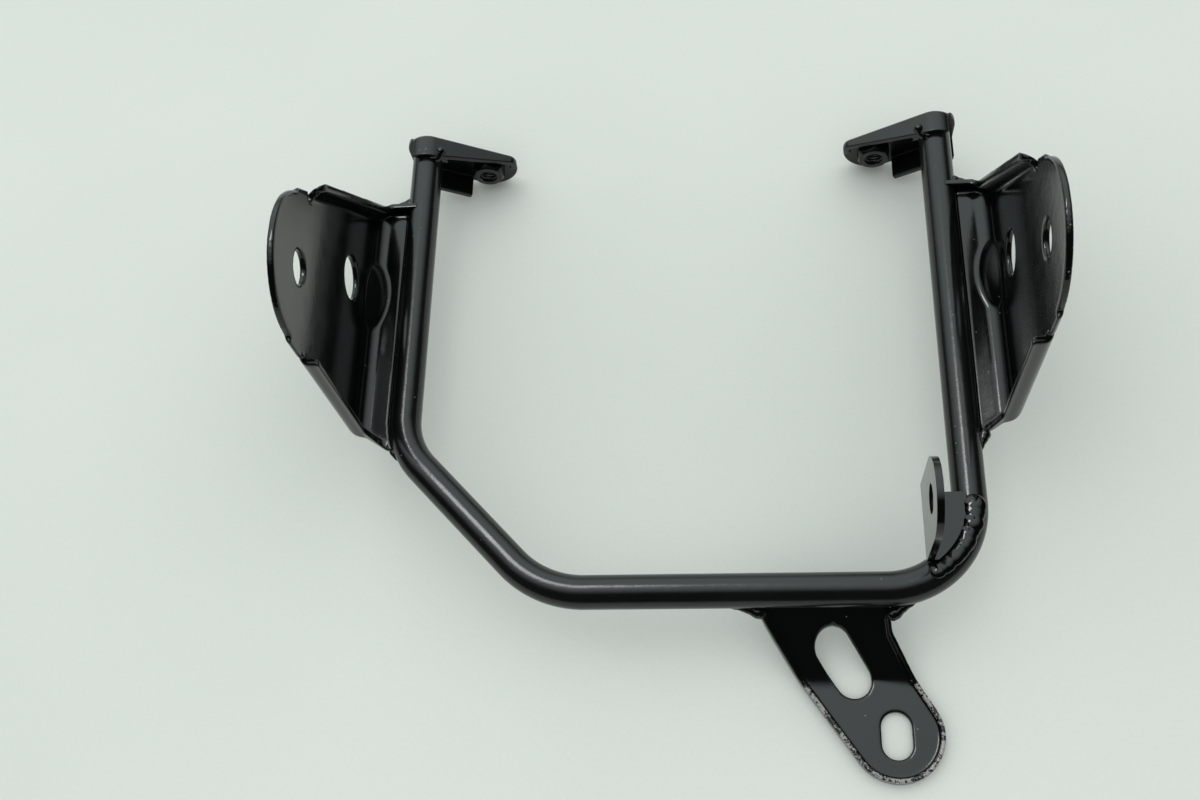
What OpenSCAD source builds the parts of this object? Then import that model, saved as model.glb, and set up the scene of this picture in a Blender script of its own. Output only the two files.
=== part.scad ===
// Headlight mounting bracket: a bent round bar with two pressed side ears, two nut lugs,
// a corner tab and a slotted lower tab, all welded together.
// Millimetres. X runs across the bracket, Y along the legs away from the cross bar, Z is up.

/* [Bent bar] */
// Radius of the round bar
rod_r = 5; // [4:0.5:7]
// Distance from the middle plane to the axis of each leg
leg_x = 84; // [74:1:94]
// Length of the legs, from the cross bar axis to the cut ends
leg_len = 156; // [150:1:180]
// Height along the left leg where the diagonal leaves it
knee_y = 46.5; // [40:0.5:50]
// Place of the bend between the diagonal and the cross bar, left of the middle
heel_x = 39.5; // [30:0.5:48]
// Bend radius on the axis at the knee
knee_bend = 24; // [15:1:26]
// Bend radius on the axis at the heel
heel_bend = 30; // [20:1:36]
// Bend radius on the axis at the right corner
corner_bend = 25; // [18:1:30]
// Height of the bar axis above the table
stand_h = 21.5; // [20:0.5:26]

/* [Pressed ears] */
// Sheet thickness of the ears, lugs and tabs
sheet = 2; // [1.5:0.25:2.5]
// Distance from the middle plane to the outer face of an ear
ear_x = 101; // [99:0.5:106]
// Inside radius of the long bend beside the bar
ear_bend = 5; // [3:0.5:6]
// Depth of the turned edges, over the sheet
edge_depth = 6; // [5:0.5:8]
// Place of the lower turned edge along the leg
ear_low_y = 50; // [49:0.5:54]
// Distance from the cut end of the leg back to the upper turned edge of the ear
ear_end_gap = 24; // [16:0.5:28]
// Slant of the upper turned edge from the leg direction
ear_slant = 63; // [58:1:68]
// Outward flare of the upper turned edge over its depth
ear_flare = 3.4; // [0:0.2:5]
// Step of the lower ear edge toward the cross bar, where it meets the leg
root_step = 4.5; // [0:0.5:6]
// Place of the small hole along the leg
small_hole_y = 73.5; // [72:0.5:76]
// Height of the small hole above the bar axis
small_hole_z = 64.3; // [62:0.5:68]
// Radius of the small hole
small_hole_r = 5; // [3:0.25:6]
// Radius of the rounded top of the ear, round the small hole
ear_tip_r = 21; // [20:0.5:22]
// Place of the large hole along the leg
large_hole_y = 95; // [92:0.5:98]
// Height of the large hole above the bar axis
large_hole_z = 21; // [19:0.5:24]
// Radius of the large hole
large_hole_r = 6.8; // [4:0.2:8]
// Place of the stiffening dart along the leg
dart_y = 99; // [94:0.5:101]
// Radius of the ball shape of the stiffening dart in the bend
dart_r = 30; // [26:1:34]
// Rise of the dart out of the sharp inner corner
dart_rise = 4.5; // [3.5:0.25:5]

/* [Nut lugs] */
// Slope of the lugs toward the table
lug_slope = 29; // [25:1:33]
// Distance from the leg axis to the nut axis, across the bracket
nut_dx = 18.5; // [17:0.5:21]
// Drop of the nut axis under the bar axis
nut_drop = 11.6; // [10.5:0.1:12.5]
// Radius of the rounded lug end round the nut
lug_tip_r = 9.8; // [9.2:0.1:10]
// Width of the lug roof beside the bar
roof_w = 8.5; // [7:0.5:10]
// Width of the lug roof at the tip
roof_tip_w = 3; // [2.5:0.5:5]
// Width of the lug floor
floor_w = 9.5; // [8:0.5:11]
// Distance across the flats of the weld nuts
nut_flats = 10; // [9:0.5:11]
// Height of the weld nuts
nut_h = 4; // [3:0.5:5]
// Radius of the threaded hole in the weld nuts
thread_r = 2.5; // [2:0.25:3]

/* [Corner tab] */
// Distance from the middle plane to the inner face of the upright
tab_x = 70; // [68:0.5:72]
// Width of the upright along the leg
tab_w = 23; // [18:0.5:24]
// Start of the upright along the leg
tab_y = 6.6; // [6:0.2:9]
// Height of the hole axis above the bar axis
tab_hole_z = 23.5; // [20:0.5:26]
// Radius of the hole in the upright
tab_hole_r = 4.2; // [3:0.2:5]

/* [Lower tab] */
// Place of the left root corner of the lower tab
low_x0 = 23; // [20:0.5:26]
// Place of the right root corner of the lower tab
low_x1 = 60; // [58:0.5:63]
// Place of the rounded end and the small slot, across the bracket
low_end_x = 61; // [58:0.5:63]
// Place of the rounded end and the small slot, in front of the cross bar axis
low_end_y = 37; // [34:0.5:42]
// Radius of the rounded end
low_end_r = 13.4; // [12:0.2:15]
// Place of the upper end of the large slot, across the bracket
slot_x0 = 43.9; // [42:0.5:46]
// Place of the upper end of the large slot, in front of the cross bar axis
slot_y0 = 13; // [12:0.5:14]
// Place of the lower end of the large slot, across the bracket
slot_x1 = 49.8; // [48:0.2:51]
// Place of the lower end of the large slot, in front of the cross bar axis
slot_y1 = 21.4; // [20:0.2:22]
// Slope of the upper part of the lower tab
low_slope = 42; // [38:1:45]
// Height of the raised rim of the lower tab, over the sheet
rim_h = 3.6; // [3:0.2:5]
// Width of the raised rim
rim_w = 1.4; // [1:0.1:2]
// Width of the large slot
big_slot_w = 10; // [8:0.5:11]
// Width of the small slot
small_slot_w = 8.6; // [6:0.2:10]
// Overall length of the small slot
small_slot_len = 13.4; // [11:0.2:16]

/* [Weld beads] */
// Radius of the beads beside the ears and the lower tab
bead_r = 2.2; // [2:0.1:2.6]
// Radius of the long bead on the corner tab
corner_bead_r = 2.8; // [2:0.1:3]
// Radius of the beads on the lugs
small_bead_r = 1.7; // [1.4:0.1:2]

/* [Hidden] */
// how finely the sheets, the bar and the beads are rounded
$fn = 72;
bar_fn = 48;
// the bends swell a little over the straight runs, which reach into them
bend_swell = 0.004;
bar_lap = 0.1;
// flat sides start this little inside the rounds that they run out of
hair = 0.003;
bend_r = rod_r + bend_swell;
bead_fn = 32;
knee_fn = 192;
coat = [0.07, 0.08, 0.08];
steel = [0.30, 0.31, 0.31];
far = 140;

// corners of the bar axis, from the left leg end to the right leg end
path = [[-leg_x, leg_len], [-leg_x, knee_y], [-heel_x, 0], [leg_x, 0], [leg_x, leg_len]];
bends = [knee_bend, heel_bend, corner_bend];

// the web of the lugs closes the bar ends
web_front = leg_len;
web_back = web_front + sheet;

// middle of the overall length, to centre the bracket on its box
low_tip_y = -low_end_y - low_end_r;
mid_y = (web_back + low_tip_y) / 2;

ear_top_y = leg_len - ear_end_gap;

// ear section: inner face, root sheet and reach of the turned edges
ear_in = ear_x - sheet;
root_top = sheet / 2;
root_bot = -sheet / 2;
edge_x = ear_x - edge_depth;
edge_z = root_bot + edge_depth;
edge_bend = 2;
ear_start = leg_x + 1;

// upper edge of the ear, tangent to the rounded top
slant_n = [sin(ear_slant), cos(ear_slant)];
slant_d = [-cos(ear_slant), sin(ear_slant)];
tip_c = [small_hole_y, small_hole_z];
slant_t = tip_c + ear_tip_r * slant_n;
slant_foot = slant_t - slant_d * ((ear_top_y - slant_t[0]) / cos(ear_slant));
notch_run = 11.3;
notch_low_z = small_hole_z - notch_run;
slant_notch = slant_t - slant_d * notch_run;
relief = 1.5;
flare = ear_flare / edge_depth;
flare_sheet = sheet * sqrt(1 + flare * flare);
edge_round = sheet + 1;
edge_corner_r = 3;

// ball of the dart, centred on the diagonal of the bend
dart_off = (dart_r - dart_rise) / sqrt(2);
dart_c = [ear_in + dart_off, dart_y, root_top - dart_off];

// lug: roof line tangent to the collar round the bar
collar_r = rod_r + sheet;
lug_n = [-sin(lug_slope), cos(lug_slope)];
lug_d = [-cos(lug_slope), -sin(lug_slope)];
nut_c = [leg_x - nut_dx, -nut_drop];
roof_p = [leg_x, 0] + (collar_r - hair) * lug_n;
roof_over_nut = (roof_p - nut_c) * lug_n;
nut_run = (nut_c - roof_p) * lug_d;
lug_tall = roof_over_nut + lug_tip_r;
tip_cut = 1.6;
tip_reach = lug_tip_r - tip_cut;
tip_corner_r = 3.2;
tip_lip = 1;
collar_side = collar_r + 1;
floor_end = 3;

// nut: flat ring of its free face, slope of its chamfer and depth of its countersink
nut_face_r = 0.47 * nut_flats;
nut_cone = 0.6;
thread_in = 0.6;

// corner tab: base on the camera side of the bar, trimmed round with the bend
base_z0 = rod_r - 1;
base_z1 = base_z0 + sheet;
corner_c = [leg_x - corner_bend, corner_bend];
base_inset = 1.8;
base_out_r = corner_bend - base_inset;
base_short = 3;
base_top_y = tab_y + tab_w - base_short;
tab_mid_y = tab_y + tab_w / 2;
weld_start = 56;
weld_sweep = 50;
weld_sink = 0.3;
weld_path_r = base_out_r + 1.2;

// lower tab: a slope that touches the underside of the cross bar, then a flat end
low_top = -stand_h + sheet;
seat = 0.4;
touch_r = rod_r - seat;
touch = [-touch_r * sin(low_slope), -touch_r * cos(low_slope)];
rise = [cos(low_slope), sin(low_slope)];
lift = [-sin(low_slope), cos(low_slope)];
bend_y = touch[0] - (touch[1] - low_top) / tan(low_slope);
root_run = 1.5;
low_c = [low_end_x, -low_end_y];
// the sides run straight beside the bar, then slant to corners and on to the rounded end
low_left_y = 5.5;
low_right_y = 6;
low_left = [low_x0 + 3.8, -low_left_y - 5.8];
low_right = [low_x1 + 0.6, -low_right_y - 4];
rim_gap = 1.6;
small_slot_half = (small_slot_len - small_slot_w) / 2;

function unit(v) = v / norm(v);
function half_turn(i) = acos(unit(path[i - 1] - path[i]) * unit(path[i + 1] - path[i])) / 2;
function setback(i) = i == 0 || i == 4 ? 0 : bends[i - 1] / tan(half_turn(i));
function turn(i) = 180 - 2 * half_turn(i);
function run_len(i) = norm(path[i + 1] - path[i]) - setback(i) - setback(i + 1);
function heading(v) = atan2(v[1], v[0]);

// where a side of the lower tab touches its rounded end
function tangent_at(p, side) =
  let(v = low_c - p, a = asin(low_end_r / norm(v)), b = heading(v) + side * a)
  p + [cos(b), sin(b)] * norm(v) * cos(a);
low_left_t = tangent_at(low_left, -1);
low_right_t = tangent_at(low_right, 1);
low_left_n = unit(low_left_t - low_c);
low_right_n = unit(low_right_t - low_c);

// outer side of the bar along the knee bend, at a height along the leg
root_low_y = ear_low_y - root_step;
knee_c = [-leg_x + knee_bend, knee_y + setback(1)];
function knee_out(y) = knee_c[0] - sqrt(pow(knee_bend + rod_r, 2) - pow(y - knee_c[1], 2));

// the whole bracket stands on the table, centred on its box
module placed() {
  translate([0, -mid_y, stand_h]) children();
}

// the left half is the mirror image of the right one
module left_side() {
  mirror([1, 0, 0]) children();
}

// a drawing of the leg and height plane, made solid from x0 to x1
module across(x0, x1) {
  translate([x0, 0, 0]) rotate([90, 0, 90]) linear_extrude(x1 - x0) children();
}

// a drawing of the cross section plane, made solid from y0 to y1
module along(y0, y1) {
  translate([0, y1, 0]) rotate([90, 0, 0]) linear_extrude(y1 - y0) children();
}

// a drawing of the plan, made solid over the whole height
module upright() {
  translate([0, 0, -far / 2]) linear_extrude(2 * far) children();
}

// a straight length of the bar, and what follows it
module run_then(i) {
  l = run_len(i);
  lap = [i == 0 ? 0 : bar_lap, i == 3 ? 0 : bar_lap];
  translate([-lap[0], 0, 0]) rotate([0, 90, 0]) cylinder(r = rod_r, h = l + lap[0] + lap[1], $fn = bar_fn);
  translate([l, 0, 0]) children();
}

// a bend of the bar to the left, and what follows it
module turn_then(r, angle) {
  translate([0, r, 0]) {
    rotate([0, 0, -90]) rotate_extrude(angle = angle) translate([r, 0]) circle(r = bend_r, $fn = bar_fn);
    rotate([0, 0, angle]) translate([0, -r, 0]) children();
  }
}

// down the left leg, along the diagonal and the cross bar, and up the right leg
module frame_rod() {
  translate([-leg_x, leg_len, 0]) rotate([0, 0, -90])
    run_then(0) turn_then(bends[0], turn(1))
    run_then(1) turn_then(bends[1], turn(2))
    run_then(2) turn_then(bends[2], turn(3))
    run_then(3);
}

// the right corner of the bar alone
module corner_bar() {
  translate([corner_c[0], corner_c[1], 0]) rotate([0, 0, -90])
    rotate_extrude(angle = 90) translate([corner_bend, 0]) circle(r = bend_r, $fn = bar_fn);
}

// the bend of the bar at the knee alone
module knee_turn() {
  translate([knee_c[0], knee_c[1], 0]) rotate([0, 0, 180])
    rotate_extrude(angle = turn(1), $fn = knee_fn) translate([knee_bend, 0]) circle(r = bend_r, $fn = knee_fn / 2);
}

// the right leg alone, to cope the sheet that meets it
module leg_bar(start) {
  translate([leg_x, start, 0]) rotate([-90, 0, 0]) cylinder(r = rod_r, h = leg_len - start, $fn = bar_fn);
}

// side view of an ear: rounded top, upper edge left long for its flare
module ear_side(inset, extra) {
  difference() {
    union() {
      polygon([[ear_low_y - 8, root_bot - 2], [ear_low_y - 8, notch_low_z], [ear_low_y + inset, notch_low_z],
        [ear_low_y + inset, small_hole_z], tip_c, slant_t - slant_n * inset,
        slant_notch + slant_n * (extra - inset), slant_foot + slant_n * (extra - inset) - slant_d * far / 4,
        [ear_low_y, -far / 4]]);
      translate(tip_c) circle(r = ear_tip_r - inset);
    }
    translate([ear_top_y - inset, -far / 2]) square([far, far]);
    translate([-far / 2, -far / 2 + root_bot - 2]) square([2 * far, far / 2]);
  }
}

// cross section of an ear: upright sheet, long bend and root toward the bar
module ear_bow(x, z, r) {
  difference() {
    translate([ear_start, z]) square([x - ear_start, far]);
    translate([x - r, z]) difference() {
      translate([0, -1]) square([r + 1, r + 1]);
      translate([0, r]) circle(r = r);
    }
  }
}

// plan of an ear: the lower edge steps toward the cross bar beside the leg
module ear_plan(inset) {
  polygon([[leg_x - 2, ear_low_y - root_step - 2 * root_step / (edge_x - leg_x) + inset],
    [leg_x + rod_r, ear_low_y - root_step + inset], [edge_x + 1, ear_low_y + inset], [ear_x + 1, ear_low_y + inset],
    [ear_x + 1, far], [leg_x - 2, far]]);
}

// drawing across the slanted upper edge: x outward from the sheet, y away from the ear
module beside_slant() {
  translate([ear_x, slant_foot[0], slant_foot[1]]) rotate([90 - ear_slant, 0, 0])
    translate([0, 0, -far]) linear_extrude(2 * far) children();
}

// room past the flared upper edge
module past_flare(inset) {
  beside_slant() polygon([[10, -10 * flare - inset], [-40, 40 * flare - inset], [-40, far], [10, far]]);
}

module ear_blank(x, z, r, inset) {
  difference() {
    intersection() {
      along(ear_low_y - 10, ear_top_y + 1) ear_bow(x, z, r);
      across(ear_start, ear_x + 1) ear_side(inset, 12);
      upright() ear_plan(inset);
    }
    past_flare(inset > 0 ? flare_sheet : 0);
  }
}

// rounds the outer corner of the lower turned edge
module low_edge_round() {
  translate([ear_x - edge_round, ear_low_y + edge_round, 0]) upright() difference() {
    translate([0, -edge_round - 1]) square([edge_round + 1, edge_round + 1]);
    circle(r = edge_round);
  }
}

// rounds the free corner of the upper turned edge, beside the notch
module top_edge_round() {
  translate([edge_x, slant_notch[0], slant_notch[1]]) rotate([90 - ear_slant, 0, 0])
    translate([0, edge_depth, 0]) rotate([90, 0, 0]) linear_extrude(2 * edge_depth) difference() {
      translate([-sheet, -edge_corner_r]) square([edge_corner_r + sheet, edge_corner_r + sheet]);
      translate([edge_corner_r, -edge_corner_r]) circle(r = edge_corner_r);
    }
}

// the lower turned edge runs out toward the leg
module edge_runout() {
  along(ear_low_y - 10, ear_low_y + sheet) polygon([[leg_x - 2, root_top], [leg_x + rod_r + 0.6, root_top],
    [edge_x, edge_z], [edge_x, edge_z + 4], [leg_x - 2, edge_z + 4]]);
}

module ear() {
  difference() {
    union() {
      difference() {
        ear_blank(ear_x, root_bot, ear_bend + sheet, 0);
        ear_blank(ear_in, root_top, ear_bend, sheet);
        // turned edges keep one depth
        along(ear_low_y - 10, ear_top_y + 1) ear_bow(edge_x, edge_z, edge_bend);
        // the rounded top is plain sheet
        across(leg_x - 2, ear_in) {
          translate([0, notch_low_z]) square([tip_c[0], far]);
          polygon([slant_notch + slant_n * 20, slant_notch - slant_n * 40,
            slant_notch - slant_n * 40 + slant_d * 90, slant_notch + slant_n * 20 + slant_d * 90]);
        }
        // relief notches at both ends of it
        across(leg_x - 2, ear_x + 1) {
          translate([ear_low_y + 0.5, notch_low_z]) circle(r = relief);
          translate(slant_notch - slant_n * 0.5) circle(r = relief);
        }
        low_edge_round();
        top_edge_round();
        edge_runout();
      }
      intersection() {
        translate(dart_c) sphere(r = dart_r);
        ear_blank(ear_x, root_bot, ear_bend + sheet, sheet);
      }
    }
    translate(dart_c) sphere(r = dart_r - sheet);
    across(ear_in - 2, ear_x + 1) {
      translate(tip_c) circle(r = small_hole_r);
      translate([large_hole_y, large_hole_z]) circle(r = large_hole_r);
    }
  }
}

// a drawing in the slope of the lug: x away from the leg is negative, y up from the nut axis
module on_slope() {
  translate(nut_c) rotate(lug_slope) children();
}

// outline of a lug over its nut, with the rounded corner where the roof ends
module lug_tip(inset) {
  on_slope() {
    translate([-tip_reach + inset, 0]) square([tip_reach, roof_over_nut - tip_corner_r]);
    translate([-tip_reach + tip_corner_r, 0]) square([tip_reach - tip_corner_r, roof_over_nut - inset]);
    translate([-tip_reach + tip_corner_r, roof_over_nut - tip_corner_r]) circle(r = tip_corner_r - inset);
  }
}

// web of a lug: collar round the leg, sloping roof and floor, rounded end round the nut
module lug_web() {
  difference() {
    union() {
      translate([leg_x, 0]) circle(r = collar_r);
      intersection() {
        translate(nut_c) circle(r = lug_tip_r);
        on_slope() translate([-lug_tip_r, -lug_tip_r]) square([2 * lug_tip_r, lug_tip_r + roof_over_nut]);
      }
      polygon([roof_p, roof_p + lug_d * nut_run, nut_c - lug_n * lug_tip_r, nut_c - lug_n * lug_tip_r - lug_d * far / 3, [leg_x, 0]]);
      lug_tip(0);
    }
    translate([leg_x + collar_r, -far / 2]) square([far, far]);
  }
}

// roof of a lug, with the half collar it makes over the leg and the lip it makes at the tip
module lug_roof() {
  difference() {
    union() {
      translate([leg_x, 0]) circle(r = collar_r);
      polygon([roof_p, roof_p + lug_d * nut_run, roof_p + lug_d * nut_run - lug_n * sheet, roof_p - lug_n * sheet]);
      difference() {
        lug_tip(0);
        lug_tip(sheet);
        on_slope() translate([-far, -far]) square([2 * far, far + roof_over_nut - tip_corner_r - tip_lip]);
        on_slope() translate([-sheet, roof_over_nut - far - sheet]) square([2 * sheet, far]);
      }
    }
    translate([leg_x, 0]) circle(r = rod_r);
    translate([leg_x, 0]) rotate(lug_slope) translate([-collar_side, -far]) square([far, far + rod_r - 2]);
    translate([leg_x, -far]) square([far, far + rod_r - 1]);
  }
}

module lug_floor() {
  intersection() {
    on_slope() translate([floor_end, -lug_tip_r]) square([far, sheet]);
    translate([0, -far / 2]) square([leg_x + collar_r, far]);
  }
}

// the roof edge slants back to the web toward the tip
module roof_trim() {
  translate([nut_c[0], 0, nut_c[1]]) rotate([0, -lug_slope, 0]) translate([0, 0, -lug_tip_r])
    linear_extrude(far) polygon([[-lug_tip_r - sheet, web_back - far], [-lug_tip_r - sheet, web_back - roof_tip_w],
      [-tip_reach, web_back - roof_tip_w], [nut_run, web_back - roof_w], [far, web_back - roof_w], [far, web_back - far]]);
}

module lug_right() {
  difference() {
    union() {
      along(web_front, web_back) lug_web();
      difference() {
        along(web_back - roof_w, web_back) lug_roof();
        roof_trim();
      }
      along(web_back - floor_w, web_back) lug_floor();
    }
    leg_bar(corner_bend);
    translate([nut_c[0], web_front - 1, nut_c[1]]) rotate([-90, 0, 0]) cylinder(r = thread_r + 0.5, h = sheet + 2);
  }
}

// hexagonal nut on the front of the web, its corners chamfered toward the free face
module weld_nut() {
  translate([nut_c[0], web_front, nut_c[1]]) rotate([90, 0, 0]) rotate([0, 0, lug_slope]) difference() {
    intersection() {
      cylinder(r = nut_flats / 2 / cos(30), h = nut_h, $fn = 6);
      cylinder(r1 = nut_face_r + nut_h * nut_cone, r2 = nut_face_r, h = nut_h);
    }
    translate([0, 0, -1]) cylinder(r = thread_r, h = nut_h + 2);
    translate([0, 0, nut_h - thread_in]) cylinder(r1 = thread_r, r2 = thread_r + 2 * thread_in, h = 2 * thread_in);
  }
}

// the base and upright of the corner tab, before they are coped and drilled
module corner_blank() {
  translate([tab_x, tab_y, base_z0]) intersection() {
    cube([40, base_top_y - tab_y, sheet]);
    translate([corner_c[0] - tab_x, corner_c[1] - tab_y, -1]) cylinder(r = base_out_r, h = sheet + 2);
  }
  across(tab_x, tab_x + sheet) {
    translate([tab_y, base_z0]) square([tab_w, tab_hole_z - base_z0]);
    translate([tab_mid_y, tab_hole_z]) circle(r = tab_w / 2);
  }
}

module corner_tab() {
  difference() {
    corner_blank();
    frame_rod();
    across(tab_x - 1, tab_x + sheet + 1) translate([tab_mid_y, tab_hole_z]) circle(r = tab_hole_r);
  }
}

// plan of the lower tab, from the cross bar to its rounded end
module low_plan(inset) {
  translate(low_c) circle(r = low_end_r - inset);
  polygon([[low_x0 + inset, 4], [low_x0 + inset, -low_left_y], low_left - low_left_n * inset, low_left_t - low_left_n * inset,
    low_c, low_right_t - low_right_n * inset, low_right - low_right_n * inset, [low_x1 - inset, -low_right_y], [low_x1 - inset, 4]]);
}

// side view of the bent tab sheet between two heights over its upper face
module low_side(z0, z1, past) {
  root = touch + rise * (root_run + past);
  polygon([root + lift * z1, [bend_y - z1 * tan(low_slope / 2), low_top + z1],
    [low_tip_y - 5 - past, low_top + z1], [low_tip_y - 5 - past, low_top + z0],
    [bend_y - z0 * tan(low_slope / 2), low_top + z0], root + lift * z0]);
}

// a slot drawing between two end centres, its sides a hair inside the round ends
module slot(a, b, w) {
  half = w / 2 - hair;
  translate(a) rotate(heading(b - a)) {
    circle(r = w / 2);
    translate([norm(b - a), 0]) circle(r = w / 2);
    translate([0, -half]) square([norm(b - a), 2 * half]);
  }
}

// the bent and rimmed sheet of the lower tab, before it is coped and slotted
module low_sheet() {
  difference() {
    intersection() {
      upright() low_plan(0);
      across(low_x0 - 5, low_end_x + 30) low_side(-sheet, rim_h - sheet, 0);
    }
    intersection() {
      upright() {
        low_plan(rim_w);
        translate([low_x0 - 5, -rod_r - rim_gap]) square([low_end_x + 30, far]);
      }
      across(low_x0 - 5, low_end_x + 30) low_side(0, rim_h + 5, 5);
    }
  }
}

module lower_tab() {
  difference() {
    low_sheet();
    frame_rod();
    upright() {
      slot([slot_x0, -slot_y0], [slot_x1, -slot_y1], big_slot_w);
      slot(low_c - [0, small_slot_half], low_c + [0, small_slot_half], small_slot_w);
    }
  }
}

// a straight bead with round ends
module bead(a, b, r) {
  v = b - a;
  translate(a) rotate([0, 0, heading(v)]) rotate([0, acos(v[2] / norm(v)), 0]) rotate_extrude($fn = bead_fn) {
    intersection() {
      union() {
        circle(r = r, $fn = bead_fn);
        translate([0, norm(v)]) circle(r = r, $fn = bead_fn);
        square([r, norm(v)]);
      }
      translate([0, -far / 2]) square([far, far]);
    }
  }
}

module left_ear() {
  difference() {
    left_side() ear();
    left_side() leg_bar(knee_c[1] - bar_lap);
    knee_turn();
  }
}

module right_ear() {
  difference() {
    ear();
    leg_bar(corner_bend);
  }
}

module ear_top_weld() {
  difference() {
    bead([leg_x + rod_r - 0.4, ear_top_y + 0.4, 0], [leg_x + rod_r - 0.8, ear_top_y + 3.4, 0], bead_r);
    leg_bar(corner_bend);
    ear();
  }
}

// the end of the root sheet that a bottom bead closes on
module root_end() {
  translate([leg_x, root_low_y, root_bot]) cube([2 * rod_r, 2 * rod_r, sheet]);
}

module right_ear_bottom_weld() {
  difference() {
    bead([leg_x + rod_r - 0.2, root_low_y - 0.6, 0], [leg_x + rod_r - 0.6, root_low_y - 3.6, 0], bead_r);
    leg_bar(corner_bend);
    root_end();
  }
}

module left_ear_bottom_weld() {
  difference() {
    bead([knee_out(root_low_y - 0.6), root_low_y - 0.6, 0], [knee_out(root_low_y - 3.6) + 0.4, root_low_y - 3.6, 0], bead_r);
    knee_turn();
    left_side() root_end();
  }
}

module lug_weld() {
  difference() {
    bead([leg_x - 4.1, web_back - roof_w - 0.4, rod_r - 2.1], [leg_x + 0.4, web_back - roof_w - 0.4, rod_r], small_bead_r);
    leg_bar(corner_bend);
    along(web_back - roof_w, web_back) translate([0, -far / 2]) square([far, far]);
  }
}

// long bead along the trimmed edge of the corner tab base
module corner_tab_weld() {
  difference() {
    translate([corner_c[0], corner_c[1], base_z0 - weld_sink]) rotate([0, 0, -weld_start])
      rotate_extrude(angle = weld_sweep) translate([weld_path_r, 0]) circle(r = corner_bead_r, $fn = bead_fn);
    corner_bar();
    translate([corner_c[0], corner_c[1], base_z1 - far]) cylinder(r = base_out_r, h = far);
  }
}

module low_weld(x0, x1) {
  difference() {
    bead([x0, -rod_r + 1.2, -rod_r + 1.6], [x1, -rod_r + 0.4, -rod_r + 0.2], bead_r - 0.2);
    frame_rod();
    low_sheet();
  }
}

placed() color(coat) frame_rod();
placed() color(coat) left_ear();
placed() color(coat) right_ear();
placed() left_side() color(coat) lug_right();  // left_lug
placed() color(coat) lug_right();  // right_lug
placed() left_side() color(coat) weld_nut();  // left_weld_nut
placed() color(coat) weld_nut();  // right_weld_nut
placed() color(coat) corner_tab();
placed() color(coat) lower_tab();
placed() left_side() color(steel) ear_top_weld();  // left_ear_top_weld
placed() color(steel) left_ear_bottom_weld();
placed() color(steel) ear_top_weld();  // right_ear_top_weld
placed() color(steel) right_ear_bottom_weld();
placed() left_side() color(steel) lug_weld();  // left_lug_weld
placed() color(steel) lug_weld();  // right_lug_weld
placed() color(steel) corner_tab_weld();
placed() color(steel) low_weld(low_x0 - 7, low_x0 - 1);  // lower_tab_left_weld
placed() color(steel) low_weld(low_x1 + 6, low_x1 + 1);  // lower_tab_right_weld
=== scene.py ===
"""Looks of the headlight mounting bracket: coated bent bar, pressed ears, nut lugs, tabs and weld beads."""

import math
import random

import bpy
from mathutils import Matrix, Vector


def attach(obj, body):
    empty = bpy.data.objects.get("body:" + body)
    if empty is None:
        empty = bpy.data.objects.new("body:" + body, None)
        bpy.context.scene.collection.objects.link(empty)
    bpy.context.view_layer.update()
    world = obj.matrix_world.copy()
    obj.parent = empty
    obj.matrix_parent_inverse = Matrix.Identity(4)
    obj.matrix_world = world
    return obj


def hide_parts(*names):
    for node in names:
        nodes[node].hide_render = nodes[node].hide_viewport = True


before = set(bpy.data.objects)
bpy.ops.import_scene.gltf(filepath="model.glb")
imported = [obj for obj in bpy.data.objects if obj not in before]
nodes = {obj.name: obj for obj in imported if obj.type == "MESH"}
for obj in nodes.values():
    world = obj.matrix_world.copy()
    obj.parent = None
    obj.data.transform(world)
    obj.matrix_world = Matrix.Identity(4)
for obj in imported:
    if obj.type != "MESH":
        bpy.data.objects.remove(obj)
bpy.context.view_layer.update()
bpy.ops.object.select_all(action="DESELECT")

MM = 0.001
# bar axis in the row frame: its height, and the place of the cross bar
BAR_Z = 21.5
BAR_Y = -53.8
BAR_R = 5.0


def place(x, y, z):
    """A point of the bracket drawing, in millimetres from the cross bar axis, in the row frame."""
    return Vector((x, y + BAR_Y, z + BAR_Z)) * MM


# Node groups

def new_group(name, inputs, outputs):
    """A node group with its sockets, and its input and output nodes."""
    group = bpy.data.node_groups.new(name, "ShaderNodeTree")
    for label, kind, value in inputs:
        socket = group.interface.new_socket(label, in_out="INPUT", socket_type=kind)
        if value is not None:
            socket.default_value = value
    for label, kind in outputs:
        group.interface.new_socket(label, in_out="OUTPUT", socket_type=kind)
    return group, group.nodes.new("NodeGroupInput"), group.nodes.new("NodeGroupOutput")


def add(tree, kind, **values):
    """A new node with its properties set."""
    node = tree.nodes.new(kind)
    for key, value in values.items():
        setattr(node, key, value)
    return node


def feed(tree, socket, value):
    """Links a socket to another one, or gives it a plain value."""
    if hasattr(value, "is_linked"):
        tree.links.new(value, socket)
    else:
        socket.default_value = value


def math_node(tree, operation, a, b, clamp=False):
    node = add(tree, "ShaderNodeMath", operation=operation, use_clamp=clamp)
    feed(tree, node.inputs[0], a)
    feed(tree, node.inputs[1], b)
    return node.outputs[0]


def noise(tree, vector, scale, detail, rough):
    node = add(tree, "ShaderNodeTexNoise")
    tree.links.new(vector, node.inputs["Vector"])
    for label, value in (("Scale", scale), ("Detail", detail), ("Roughness", rough)):
        feed(tree, node.inputs[label], value)
    return node.outputs["Fac"]


def remap(tree, value, low, high):
    """Stretches a value so that low gives 0 and high gives 1."""
    node = add(tree, "ShaderNodeMapRange", clamp=True)
    tree.links.new(value, node.inputs["Value"])
    node.inputs["From Min"].default_value = low
    node.inputs["From Max"].default_value = high
    return node.outputs["Result"]


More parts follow.
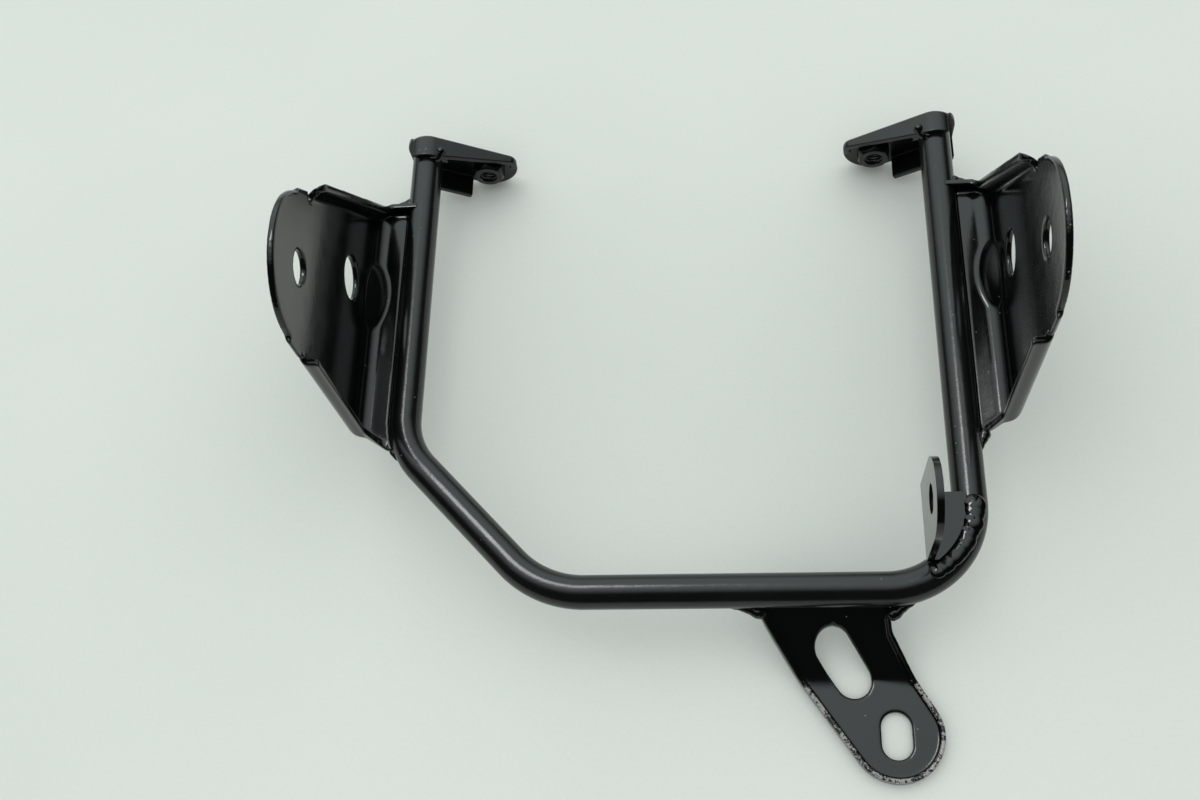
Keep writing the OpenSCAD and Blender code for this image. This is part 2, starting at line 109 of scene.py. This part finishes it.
def mix_colour(tree, factor, a, b):
    node = add(tree, "ShaderNodeMix", data_type="RGBA")
    for socket, value in ((node.inputs[0], factor), (node.inputs[6], a), (node.inputs[7], b)):
        feed(tree, socket, value)
    return node.outputs[2]


def make_peel_group():
    """Fine waves that sprayed coat dries with, as a bumped normal."""
    group, into, out = new_group("coat_waves", [
        ("Vector", "NodeSocketVector", None), ("Scale", "NodeSocketFloat", 900.0),
        ("Depth", "NodeSocketFloat", 0.00002)],
        [("Normal", "NodeSocketVector")])
    fine = noise(group, into.outputs["Vector"], into.outputs["Scale"], 2.0, 0.5)
    wide = noise(group, into.outputs["Vector"], math_node(group, "MULTIPLY", into.outputs["Scale"], 0.22), 1.0, 0.4)
    height = math_node(group, "ADD", fine, math_node(group, "MULTIPLY", wide, 1.6))
    bump = add(group, "ShaderNodeBump")
    bump.inputs["Strength"].default_value = 1.0
    group.links.new(height, bump.inputs["Height"])
    group.links.new(into.outputs["Depth"], bump.inputs["Distance"])
    group.links.new(bump.outputs["Normal"], out.inputs["Normal"])
    return group


def make_tone_group():
    """Slow drift of colour and gloss over the coat."""
    group, into, out = new_group("coat_tone", [
        ("Vector", "NodeSocketVector", None), ("Dark", "NodeSocketColor", None), ("Light", "NodeSocketColor", None),
        ("Gloss", "NodeSocketFloat", 0.3), ("Spread", "NodeSocketFloat", 0.06)],
        [("Color", "NodeSocketColor"), ("Roughness", "NodeSocketFloat")])
    slow = noise(group, into.outputs["Vector"], 35.0, 3.0, 0.55)
    blotch = remap(group, slow, 0.35, 0.65)
    colour = mix_colour(group, blotch, into.outputs["Dark"], into.outputs["Light"])
    streak = noise(group, into.outputs["Vector"], 160.0, 2.0, 0.5)
    offset = math_node(group, "MULTIPLY", math_node(group, "SUBTRACT", streak, 0.5), into.outputs["Spread"])
    rough = math_node(group, "ADD", into.outputs["Gloss"], math_node(group, "MULTIPLY", offset, 2.0), True)
    group.links.new(colour, out.inputs["Color"])
    group.links.new(rough, out.inputs["Roughness"])
    return group


def make_dust_group():
    """Sparse pale specks lying on the coat."""
    group, into, out = new_group("dust_specks", [
        ("Vector", "NodeSocketVector", None), ("Scale", "NodeSocketFloat", 420.0),
        ("Size", "NodeSocketFloat", 0.09), ("Share", "NodeSocketFloat", 0.12)],
        [("Mask", "NodeSocketFloat")])
    cells = add(group, "ShaderNodeTexVoronoi", feature="F1")
    group.links.new(into.outputs["Vector"], cells.inputs["Vector"])
    group.links.new(into.outputs["Scale"], cells.inputs["Scale"])
    split = add(group, "ShaderNodeSeparateColor")
    group.links.new(cells.outputs["Color"], split.inputs[0])
    near = math_node(group, "LESS_THAN", cells.outputs["Distance"], into.outputs["Size"])
    chosen = math_node(group, "LESS_THAN", split.outputs[0], into.outputs["Share"])
    group.links.new(math_node(group, "MULTIPLY", near, chosen), out.inputs["Mask"])
    return group


def make_wear_group():
    """Bare chips along the edges, from the piece's own edge attribute."""
    group, into, out = new_group("edge_chips", [
        ("Vector", "NodeSocketVector", None), ("Edge", "NodeSocketFloat", 0.0),
        ("Scale", "NodeSocketFloat", 1300.0), ("Level", "NodeSocketFloat", 0.62)],
        [("Mask", "NodeSocketFloat")])
    grit = noise(group, into.outputs["Vector"], into.outputs["Scale"], 3.0, 0.6)
    patch = noise(group, into.outputs["Vector"], math_node(group, "MULTIPLY", into.outputs["Scale"], 0.12), 2.0, 0.5)
    total = math_node(group, "ADD", math_node(group, "MULTIPLY", grit, 0.6), math_node(group, "MULTIPLY", patch, 0.4))
    above = math_node(group, "SUBTRACT", total, into.outputs["Level"])
    sharp = math_node(group, "MULTIPLY", above, 40.0, True)
    group.links.new(math_node(group, "MULTIPLY", sharp, into.outputs["Edge"]), out.inputs["Mask"])
    return group


PEEL = make_peel_group()
TONE = make_tone_group()
DUST = make_dust_group()
WEAR = make_wear_group()


def use_group(tree, group, **values):
    node = add(tree, "ShaderNodeGroup", node_tree=group)
    for label, value in values.items():
        feed(tree, node.inputs[label], value)
    return node


GLOSS_SPREAD = 0.05
SPECK_SHARE = 0.1
SPECK_COLOUR = (0.16, 0.17, 0.16, 1)
CHIP_COLOUR = (0.30, 0.30, 0.29, 1)


def coat_material(name, dark, light, gloss, peel, depth, chip_level=None):
    """Black coat with peel waves and specks, and chips where the edge attribute says so."""
    material = bpy.data.materials.new(name)
    material.use_nodes = True
    tree = material.node_tree
    shader = tree.nodes["Principled BSDF"]
    spot = add(tree, "ShaderNodeTexCoord").outputs["Object"]
    tone = use_group(tree, TONE, Vector=spot, Dark=dark, Light=light, Gloss=gloss, Spread=GLOSS_SPREAD)
    specks = use_group(tree, DUST, Vector=spot, Share=SPECK_SHARE)
    colour = mix_colour(tree, specks.outputs["Mask"], tone.outputs["Color"], SPECK_COLOUR)
    if chip_level is not None:
        edge = add(tree, "ShaderNodeAttribute", attribute_name="edge")
        chips = use_group(tree, WEAR, Vector=spot, Edge=edge.outputs["Fac"], Level=chip_level)
        colour = mix_colour(tree, chips.outputs["Mask"], colour, CHIP_COLOUR)
    waves = use_group(tree, PEEL, Vector=spot, Scale=peel, Depth=depth)
    tree.links.new(colour, shader.inputs["Base Color"])
    tree.links.new(tone.outputs["Roughness"], shader.inputs["Roughness"])
    tree.links.new(waves.outputs["Normal"], shader.inputs["Normal"])
    return material


DARK = (0.0010, 0.0013, 0.0013, 1)
LIGHT = (0.0020, 0.0026, 0.0026, 1)
BAR_DARK = (0.0028, 0.0034, 0.0034, 1)
BAR_LIGHT = (0.0044, 0.0054, 0.0054, 1)
LUG_LIGHT = (0.0032, 0.0040, 0.0038, 1)
bar_coat = coat_material("black_bar_coat", BAR_DARK, BAR_LIGHT, 0.205, peel=1700.0, depth=0.000022)
sheet_coat = coat_material("black_sheet_coat", DARK, LIGHT, 0.135, peel=1400.0, depth=0.000010, chip_level=0.60)
tab_coat = coat_material("black_tab_coat", DARK, LIGHT, 0.17, peel=1400.0, depth=0.000012, chip_level=0.50)
lug_coat = coat_material("black_lug_coat", DARK, LUG_LIGHT, 0.25, peel=1100.0, depth=0.00003)
nut_coat = coat_material("black_nut_coat", DARK, LIGHT, 0.22, peel=1400.0, depth=0.000012, chip_level=0.60)
bead_coat = coat_material("black_bead_coat", DARK, LIGHT, 0.10, peel=1200.0, depth=0.00001)


# Modelling helpers

# vertices this close are merged, and faces that turn less than this many degrees are made one
WELD_GAP = 0.002 * MM
FLAT_ANGLE = 0.6


def select_only(*pieces):
    """Selects these pieces alone, the first one active."""
    bpy.ops.object.select_all(action="DESELECT")
    for piece in pieces:
        piece.select_set(True)
    bpy.context.view_layer.objects.active = pieces[0]


def apply_all(piece):
    select_only(piece)
    for modifier in list(piece.modifiers):
        bpy.ops.object.modifier_apply(modifier=modifier.name)


def own_copy(node, name):
    """A merged copy of a solid's mesh, with its flat faces made whole."""
    piece = bpy.data.objects.new(name, nodes[node].data.copy())
    bpy.context.scene.collection.objects.link(piece)
    piece.data.materials.clear()
    select_only(piece)
    bpy.ops.object.mode_set(mode="EDIT")
    bpy.ops.mesh.select_all(action="SELECT")
    bpy.ops.mesh.remove_doubles(threshold=WELD_GAP)
    bpy.ops.mesh.dissolve_limited(angle_limit=math.radians(FLAT_ANGLE))
    bpy.ops.object.mode_set(mode="OBJECT")
    return piece


def mark_edges(piece, narrow):
    """Writes the edge attribute: 1 on the narrow faces that a bevel made."""
    mesh = piece.data
    values = [0.0] * len(mesh.loops)
    for face in mesh.polygons:
        corners = [mesh.vertices[i].co for i in face.vertices]
        sides = sorted((corners[i] - corners[i - 1]).length for i in range(len(corners)))
        if len(corners) in (3, 4) and sides[1 if len(corners) == 4 else 0] < narrow:
            for i in face.loop_indices:
                values[i] = 1.0
    attribute = mesh.attributes.new("edge", "FLOAT", "CORNER")
    attribute.data.foreach_set("value", values)


def even_shading(piece):
    """Keeps the flat faces flat beside their rounded edges."""
    weights = piece.modifiers.new("even", "WEIGHTED_NORMAL")
    weights.keep_sharp = True
    weights.weight = 80
    apply_all(piece)


def finish_piece(piece, material, angle=40):
    """Material, smooth shading below an angle, and body."""
    piece.data.materials.clear()
    piece.data.materials.append(material)
    select_only(piece)
    bpy.ops.object.shade_smooth_by_angle(angle=math.radians(angle))
    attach(piece, "root")
    return piece


def weigh_edges(piece, chosen):
    """Gives bevel weight to the edges for which chosen(ends, face normals, hollow) is true."""
    mesh = piece.data
    faces = {}
    for face in mesh.polygons:
        for key in face.edge_keys:
            faces.setdefault(key, []).append(face)
    weights = []
    for edge in mesh.edges:
        pair = faces.get(edge.key, [])
        weight = 0.0
        if len(pair) == 2:
            ends = [mesh.vertices[i].co / MM for i in edge.vertices]
            hollow = (pair[1].center - pair[0].center).dot(pair[0].normal) > 0
            if chosen(ends, [face.normal for face in pair], hollow):
                weight = 1.0
        weights.append(weight)
    attribute = mesh.attributes.new("bevel_weight_edge", "FLOAT", "EDGE")
    attribute.data.foreach_set("value", weights)


def wide_rounding(piece, width, segments, chosen):
    """A wide rounding along chosen edges only."""
    weigh_edges(piece, chosen)
    bevel = piece.modifiers.new("wide", "BEVEL")
    bevel.width = width * MM
    bevel.segments = segments
    bevel.limit_method = "WEIGHT"
    bevel.use_clamp_overlap = False
    apply_all(piece)
    piece.data.attributes.remove(piece.data.attributes["bevel_weight_edge"])


def rounded_solid(node, name, material):
    """A solid's mesh with small roundings on its sharp edges."""
    width, segments = 0.3, 2
    piece = own_copy(node, name)
    bevel = piece.modifiers.new("rounded", "BEVEL")
    bevel.width = width * MM
    bevel.segments = segments
    bevel.limit_method = "ANGLE"
    bevel.angle_limit = math.radians(32)
    apply_all(piece)
    mark_edges(piece, 1.3 * width / segments * MM)
    finish_piece(piece, material)
    even_shading(piece)
    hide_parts(node)
    return piece


# Bent bar

LEG_X = 84.0
LEG_LEN = 156.0
KNEE_Y = 46.5
HEEL_X = 39.5
CORNERS = [(-LEG_X, LEG_LEN), (-LEG_X, KNEE_Y), (-HEEL_X, 0.0), (LEG_X, 0.0), (LEG_X, LEG_LEN)]
BENDS = [24.0, 30.0, 25.0]


BAR_RING = 64
BEND_STEP = 2.0


def swept_bar(name):
    """One round section, extruded along each run and spun round each bend."""
    points = [Vector(c + (0.0,)) for c in CORNERS]
    start = points[0]
    bpy.ops.mesh.primitive_circle_add(vertices=BAR_RING, radius=BAR_R * MM, fill_type="NGON",
                                      location=place(*start), rotation=(math.radians(90), 0, 0))
    piece = bpy.context.object
    piece.name = name
    bpy.ops.object.transform_apply(location=True, rotation=True, scale=True)
    bpy.ops.object.mode_set(mode="EDIT")
    bpy.ops.mesh.select_all(action="SELECT")
    here = start
    for i in range(1, len(points)):
        back = (points[i - 1] - points[i]).normalized()
        if i < len(points) - 1:
            ahead = (points[i + 1] - points[i]).normalized()
            half = math.acos(max(-1, min(1, back.dot(ahead)))) / 2
            reach = BENDS[i - 1] / math.tan(half)
            centre = points[i] + (back + ahead).normalized() * (BENDS[i - 1] / math.sin(half))
        else:
            reach = 0.0
        stop = points[i] + back * reach
        bpy.ops.mesh.extrude_region_move(TRANSFORM_OT_translate={"value": (stop - here) * MM})
        here = stop
        if i < len(points) - 1:
            turn = math.pi - 2 * half
            bpy.ops.mesh.spin(steps=max(8, int(math.degrees(turn) / BEND_STEP)), angle=-turn, dupli=False,
                              center=place(*centre), axis=(0, 0, 1))
            here = points[i] + ahead * reach
    bpy.ops.mesh.select_all(action="SELECT")
    bpy.ops.mesh.remove_doubles(threshold=0.000001)
    bpy.ops.mesh.normals_make_consistent(inside=False)
    bpy.ops.object.mode_set(mode="OBJECT")
    return piece


bar = swept_bar("bent_bar")
finish_piece(bar, bar_coat, 30)
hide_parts("frame_rod")

# Pressed and coated sheet parts

NUT_X = 65.5
NUT_Z = -11.6
WEB_BACK = 158.0
LUG_SLOPE = math.radians(29)


def above_nut(point):
    """How far a point lies over the nut axis, square to the slope of the lug."""
    across = abs(point.x) - NUT_X
    up = point.z - BAR_Z - NUT_Z
    return up * math.cos(LUG_SLOPE) - across * math.sin(LUG_SLOPE)


def lug_back_edge(ends, normals, hollow):
    """Outer edges of the web's back that lie well over the nut."""
    back = all(abs(end.y - WEB_BACK - BAR_Y) < 0.02 for end in ends)
    square = abs(normals[0].dot(normals[1])) < 0.3
    return back and square and not hollow and all(above_nut(end) > 2.5 for end in ends)


# radius of the nuts' bore, and the size, pitch and start of the ridge that stands in it
BORE_R = 2.95
RIDGE_R = 0.367
RIDGE_AT = 2.867
PITCH = 1.0
RIDGE_START = 152.9


def threaded_nut(side, sign):
    """Hexagonal nut with a helical thread in its bore."""
    axis = place(sign * NUT_X, 154, NUT_Z)
    piece = own_copy(side + "_weld_nut", side + "_hex_nut")
    bpy.ops.mesh.primitive_cylinder_add(vertices=64, radius=BORE_R * MM, depth=8 * MM, location=axis,
                                        rotation=(math.radians(90), 0, 0))
    drill = bpy.context.object
    bore = piece.modifiers.new("bore", "BOOLEAN")
    bore.object = drill
    bore.operation = "DIFFERENCE"
    bore.solver = "EXACT"
    bevel = piece.modifiers.new("rounded", "BEVEL")
    bevel.width = 0.25 * MM
    bevel.segments = 2
    bevel.limit_method = "ANGLE"
    bevel.angle_limit = math.radians(25)
    apply_all(piece)
    bpy.data.objects.remove(drill)
    mark_edges(piece, 0.17 * MM)
    select_only(piece)
    bpy.ops.mesh.primitive_circle_add(vertices=3, radius=RIDGE_R * MM, location=(RIDGE_AT * MM, 0, 0),
                                      rotation=(math.radians(90), math.radians(-90), 0))
    ridge = bpy.context.object
    bpy.ops.object.transform_apply(location=True, rotation=True, scale=True)
    turns = ridge.modifiers.new("turns", "SCREW")
    turns.axis = "Z"
    turns.angle = math.radians(360)
    turns.screw_offset = PITCH * MM
    turns.iterations = 4
    turns.steps = 40
    turns.render_steps = 40
    apply_all(ridge)
    bpy.ops.object.mode_set(mode="EDIT")
    bpy.ops.mesh.select_all(action="SELECT")
    bpy.ops.mesh.remove_doubles(threshold=0.000001)
    bpy.ops.mesh.select_mode(type="VERT")
    bpy.ops.mesh.select_all(action="DESELECT")
    bpy.ops.mesh.select_non_manifold()
    bpy.ops.mesh.fill()
    bpy.ops.mesh.select_all(action="SELECT")
    bpy.ops.mesh.normals_make_consistent(inside=False)
    bpy.ops.object.mode_set(mode="OBJECT")
    start = place(sign * NUT_X, RIDGE_START, NUT_Z)
    ridge.data.transform(Matrix.Translation(start) @ Matrix.Rotation(math.radians(-90), 4, "X"))
    select_only(piece, ridge)
    bpy.ops.object.join()
    finish_piece(piece, nut_coat)
    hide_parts(side + "_weld_nut")


def soften(piece, grain, rounds):
    """Melts the outside into the soft form that thick coat gives."""
    melt = piece.modifiers.new("melt", "REMESH")
    melt.mode = "VOXEL"
    melt.voxel_size = grain * MM
    ease = piece.modifiers.new("ease", "SMOOTH")
    ease.factor = 0.5
    ease.iterations = rounds
    apply_all(piece)


def soft_lug(side):
    """A pressed lug with a domed back over the cut end of the bar."""
    piece = own_copy(side + "_lug", side + "_nut_lug")
    wide_rounding(piece, 2.0, 5, lug_back_edge)
    soften(piece, 0.2, 8)
    finish_piece(piece, lug_coat, 180)
    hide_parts(side + "_lug")


# middle of the dart, its reach with the width of the fade, and where the root sheet stays as it is
DART_X, DART_Y, DART_Z = 95.6, 99.0, 3.4
DART_REACH, DART_FADE = 19, 7
ROOT_X, ROOT_FADE = 91.5, 2


def ease_dart(piece, sign):
    """Lets the stiffening dart flow softly into the bend round it."""
    middle = place(sign * DART_X, DART_Y, DART_Z)
    near = piece.vertex_groups.new(name="dart")
    for vertex in piece.data.vertices:
        fade = min(1.0, (DART_REACH - (vertex.co - middle).length / MM) / DART_FADE,
                   (sign * vertex.co.x / MM - ROOT_X) / ROOT_FADE)
        if fade > 0:
            near.add([vertex.index], fade, "REPLACE")
    ease = piece.modifiers.new("ease_dart", "SMOOTH")
    ease.factor = 0.5
    ease.iterations = 14
    ease.vertex_group = "dart"
    apply_all(piece)


for side, sign in (("left", -1), ("right", 1)):
    ear = own_copy(side + "_ear", side + "_pressed_ear")
    soften(ear, 0.4, 10)
    ease_dart(ear, sign)
    finish_piece(ear, sheet_coat, 180)
    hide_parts(side + "_ear")
    soft_lug(side)
    threaded_nut(side, sign)
rounded_solid("corner_tab", "upright_corner_tab", sheet_coat)


# heights between which the rim is worn, and where the flat end starts in front of the cross bar
WORN_LOW, WORN_HIGH = 2.8, 3.9
FLAT_END = 21.5


def tab_rim_wear(piece):
    """Writes the edge attribute: 1 along the top of the raised rim round the flat end."""
    mesh = piece.data
    values = []
    for vertex in mesh.vertices:
        z = vertex.co.z / MM
        worn = WORN_LOW < z < WORN_HIGH and vertex.co.y / MM < BAR_Y - FLAT_END
        values.append(1.0 if worn else 0.0)
    attribute = mesh.attributes.new("edge", "FLOAT", "POINT")
    attribute.data.foreach_set("value", values)


def tab_crease(ends, normals, hollow):
    """The bend between the sloping and the flat part of the lower tab."""
    level = abs(ends[0].y - ends[1].y) < 0.05
    return level and 0.6 < normals[0].dot(normals[1]) < 0.9


lower = own_copy("lower_tab", "slotted_lower_tab")
wide_rounding(lower, 3.0, 6, tab_crease)
soften(lower, 0.3, 22)
tab_rim_wear(lower)
finish_piece(lower, tab_coat, 180)
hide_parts("lower_tab")


# Weld beads

BEAD_GRAIN = 0.16


def bead_path(points, step):
    """Evenly spaced points along a polyline, each with its share of the whole run."""
    total = sum((b - a).length for a, b in zip(points, points[1:]))
    count = max(1, round(total / step))
    spots = []
    for i in range(count + 1):
        d = total * i / count
        for a, b in zip(points, points[1:]):
            run = (b - a).length
            if d <= run + 1e-9:
                spots.append((a + (b - a) * min(1, d / run), (b - a).normalized(), i / count))
                break
            d -= run
    return spots


def weld_bead(name, node, points, radii, step, seed, rounds, squash=0.9, wander=0.12, height=1.0):
    """Overlapping puddles along a line, melted into one bead that tapers between two radii."""
    rng = random.Random(seed)
    coins = []
    for spot, heading, share in bead_path(points, step * MM):
        radius = (radii[0] + (radii[1] - radii[0]) * share) * (1 + rng.uniform(-0.07, 0.07))
        bpy.ops.mesh.primitive_uv_sphere_add(segments=24, ring_count=12, radius=radius * MM)
        coin = bpy.context.object
        shift = Vector([rng.uniform(-wander, wander) * MM for _ in range(3)])
        turn = heading.to_track_quat("Z", "Y").to_matrix().to_4x4()
        flat = Matrix.Diagonal((1, 1, height, 1))
        coin.data.transform(Matrix.Translation(spot + shift) @ flat @ turn @ Matrix.Diagonal((1, 1, squash, 1)))
        coins.append(coin)
    select_only(*coins)
    bpy.ops.object.join()
    bead = bpy.context.object
    bead.name = name
    soften(bead, BEAD_GRAIN, rounds)
    finish_piece(bead, bead_coat, 180)
    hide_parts(node)


def arc_points(centre, radius, start, sweep, height, count=24):
    """Points along an arc in plan, from a start angle over a sweep in degrees."""
    angles = [math.radians(start + sweep * i / count) for i in range(count + 1)]
    return [place(centre[0] + radius * math.cos(a), centre[1] + radius * math.sin(a), height) for a in angles]


weld_bead("corner_tab_bead", "corner_tab_weld", arc_points((59, 25), 25.4, -58, 53, 4.7), (2.2, 3.4),
          step=0.9, seed=3, rounds=26, squash=0.95, wander=0.20, height=0.58)
for side, sign, seed in (("left", -1, 5), ("right", 1, 8)):
    weld_bead(side + "_lug_bead", side + "_lug_weld",
              [place(sign * 81.6, 149.6, 4.0), place(sign * 79.6, 150.2, 3.8), place(sign * 78.6, 152.0, 4.8)],
              (1.3, 1.6), step=0.8, seed=seed, rounds=8)
    weld_bead(side + "_ear_top_bead", side + "_ear_top_weld",
              [place(sign * 88.6, 133.9, 0.6), place(sign * 91.2, 133.1, 0.8)],
              (2.1, 1.5), step=1.0, seed=seed + 1, rounds=6)
weld_bead("right_ear_bottom_bead", "right_ear_bottom_weld",
          [place(88.0, 40.8, 0.2), place(88.9, 43.6, 0.2), place(90.0, 46.4, 0.2)],
          (0.7, 1.8), step=0.5, seed=11, rounds=12, wander=0.05)
weld_bead("left_ear_bottom_bead", "left_ear_bottom_weld",
          [place(-85.8, 43.4, -0.8), place(-87.2, 45.4, -0.6)],
          (0.9, 1.2), step=0.8, seed=12, rounds=8, wander=0.06)
weld_bead("lower_tab_left_bead", "lower_tab_left_weld",
          [place(14.5, -3.6, -2.8), place(19, -3.9, -3.4), place(23.6, -5.2, -4.6)],
          (0.8, 2.0), step=0.9, seed=14, rounds=8)
weld_bead("lower_tab_right_bead", "lower_tab_right_weld",
          [place(67.0, -2.6, -2.8), place(63.8, -3.9, -3.4), place(60.6, -6.0, -4.6)],
          (0.8, 2.1), step=0.8, seed=15, rounds=10, wander=0.08)


# Camera, floor and light

def pose_matrix(position, right, up, back):
    """A camera pose from its place and its three axes."""
    columns = Matrix((right, up, back)).transposed()
    return Matrix.Translation(position) @ columns.to_4x4()


SENSOR = 36
PICTURE_WIDTH = 1200
# focal length in pixels of the picture
FOCAL = 1343.56
camera_data = bpy.data.cameras.new("camera")
camera = bpy.data.objects.new("camera", camera_data)
bpy.context.scene.collection.objects.link(camera)
camera_data.lens = FOCAL / PICTURE_WIDTH * SENSOR
camera_data.sensor_width = SENSOR
camera_data.clip_start = 0.01
camera.matrix_world = pose_matrix(Vector((21.7, -163.5, 393.4)) * MM,
    (0.99361, 0.02151, -0.11077), (0.02645, 0.90993, 0.41392), (0.10969, -0.41421, 0.90355))
bpy.context.scene.camera = camera


TABLE_DARK = (0.715, 0.768, 0.722, 1)
TABLE_LIGHT = (0.775, 0.828, 0.780, 1)


def floor_material():
    """Pale table with a slow drift and a faint grain."""
    material = bpy.data.materials.new("pale_table")
    material.use_nodes = True
    tree = material.node_tree
    shader = tree.nodes["Principled BSDF"]
    spot = add(tree, "ShaderNodeTexCoord").outputs["Object"]
    slow = noise(tree, spot, 6.0, 3.0, 0.5)
    grain = remap(tree, noise(tree, spot, 900.0, 3.0, 0.6), 0.3, 0.7)
    shade = math_node(tree, "ADD", math_node(tree, "MULTIPLY", remap(tree, slow, 0.3, 0.7), 0.6),
                      math_node(tree, "MULTIPLY", grain, 0.4))
    tree.links.new(mix_colour(tree, shade, TABLE_DARK, TABLE_LIGHT), shader.inputs["Base Color"])
    shader.inputs["Roughness"].default_value = 0.6
    return material


bpy.ops.object.select_all(action="DESELECT")
bpy.ops.mesh.primitive_plane_add(size=40)
table = bpy.context.object
table.name = "table"
table.data.materials.append(floor_material())


def area_light(name, position, target, width, height, power):
    """A rectangular light that faces a target."""
    data = bpy.data.lights.new(name, "AREA")
    data.shape = "RECTANGLE"
    data.size = width
    data.size_y = height
    data.energy = power
    lamp = bpy.data.objects.new(name, data)
    bpy.context.scene.collection.objects.link(lamp)
    aim = (Vector(target) - Vector(position)).to_track_quat("-Z", "Y").to_matrix().to_4x4()
    lamp.matrix_world = Matrix.Translation(position) @ aim
    return lamp


strip_light = area_light("strip_light", (-0.375, 0.405, 1.395), (0, 0, 0), 0.55, 0.22, 5.4)
strip_light.visible_diffuse = False

# direction that the bright side of the room lies in
WINDOW = (-0.15, 0.55, 0.82)
world = bpy.data.worlds.new("studio")
bpy.context.scene.world = world
world.use_nodes = True
sky = world.node_tree
shade = sky.nodes["Background"]
direction = add(sky, "ShaderNodeTexCoord").outputs["Generated"]
height = add(sky, "ShaderNodeSeparateXYZ")
sky.links.new(direction, height.inputs[0])
rise = remap(sky, height.outputs["Z"], 0.02, 0.35)
backdrop = mix_colour(sky, rise, (0.80, 0.83, 0.80, 1), (0.66, 0.69, 0.67, 1))
toward = add(sky, "ShaderNodeVectorMath", operation="DOT_PRODUCT")
sky.links.new(direction, toward.inputs[0])
toward.inputs[1].default_value = Vector(WINDOW).normalized()
glow = remap(sky, toward.outputs["Value"], 0.50, 0.88)
reflected = mix_colour(sky, glow, (0.02, 0.022, 0.022, 1), (1.42, 1.64, 1.61, 1))
ray = add(sky, "ShaderNodeLightPath")
mirrored = math_node(sky, "MAXIMUM", ray.outputs["Is Glossy Ray"], ray.outputs["Is Transmission Ray"])
side_light = remap(sky, toward.outputs["Value"], 0.0, 1.0)
fill = mix_colour(sky, side_light, (0.72, 0.73, 0.72, 1), (1.08, 1.09, 1.08, 1))
soft = mix_colour(sky, mirrored, fill, reflected)
sky.links.new(mix_colour(sky, ray.outputs["Is Camera Ray"], soft, backdrop), shade.inputs["Color"])
shade.inputs["Strength"].default_value = 1.0
bpy.context.scene.view_settings.view_transform = "Standard"
